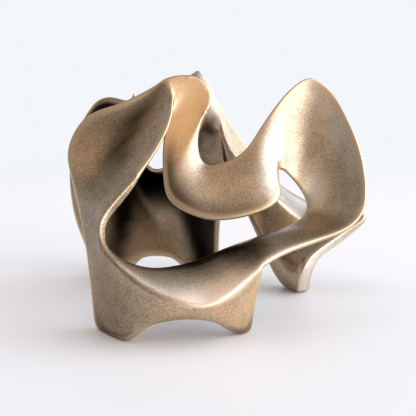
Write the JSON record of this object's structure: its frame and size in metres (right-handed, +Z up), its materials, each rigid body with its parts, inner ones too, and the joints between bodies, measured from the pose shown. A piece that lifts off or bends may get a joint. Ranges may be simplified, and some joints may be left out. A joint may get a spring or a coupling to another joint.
{
  "type": "abstract sculpture",
  "caption": "Abstract tabletop sculpture of one folded metal sheet: a leaf, a pierced wing, a hanging tongue and a back shield, standing on short feet.",
  "frame": {"origin": "centre of the footprint's bounding box, on the surface it stands on", "axes": "+X to the viewer's right, +Y away from the viewer, +Z up; the skirt with its arch faces -Y"},
  "size_m": [0.3422, 0.275, 0.2375],
  "materials": {
    "bronze": "antique bronze, fine sand-cast grain, rubbed bright on the edges"
  },
  "bodies": {
    "root": {"sculpture": "bronze"}
  },
  "joints": []
}
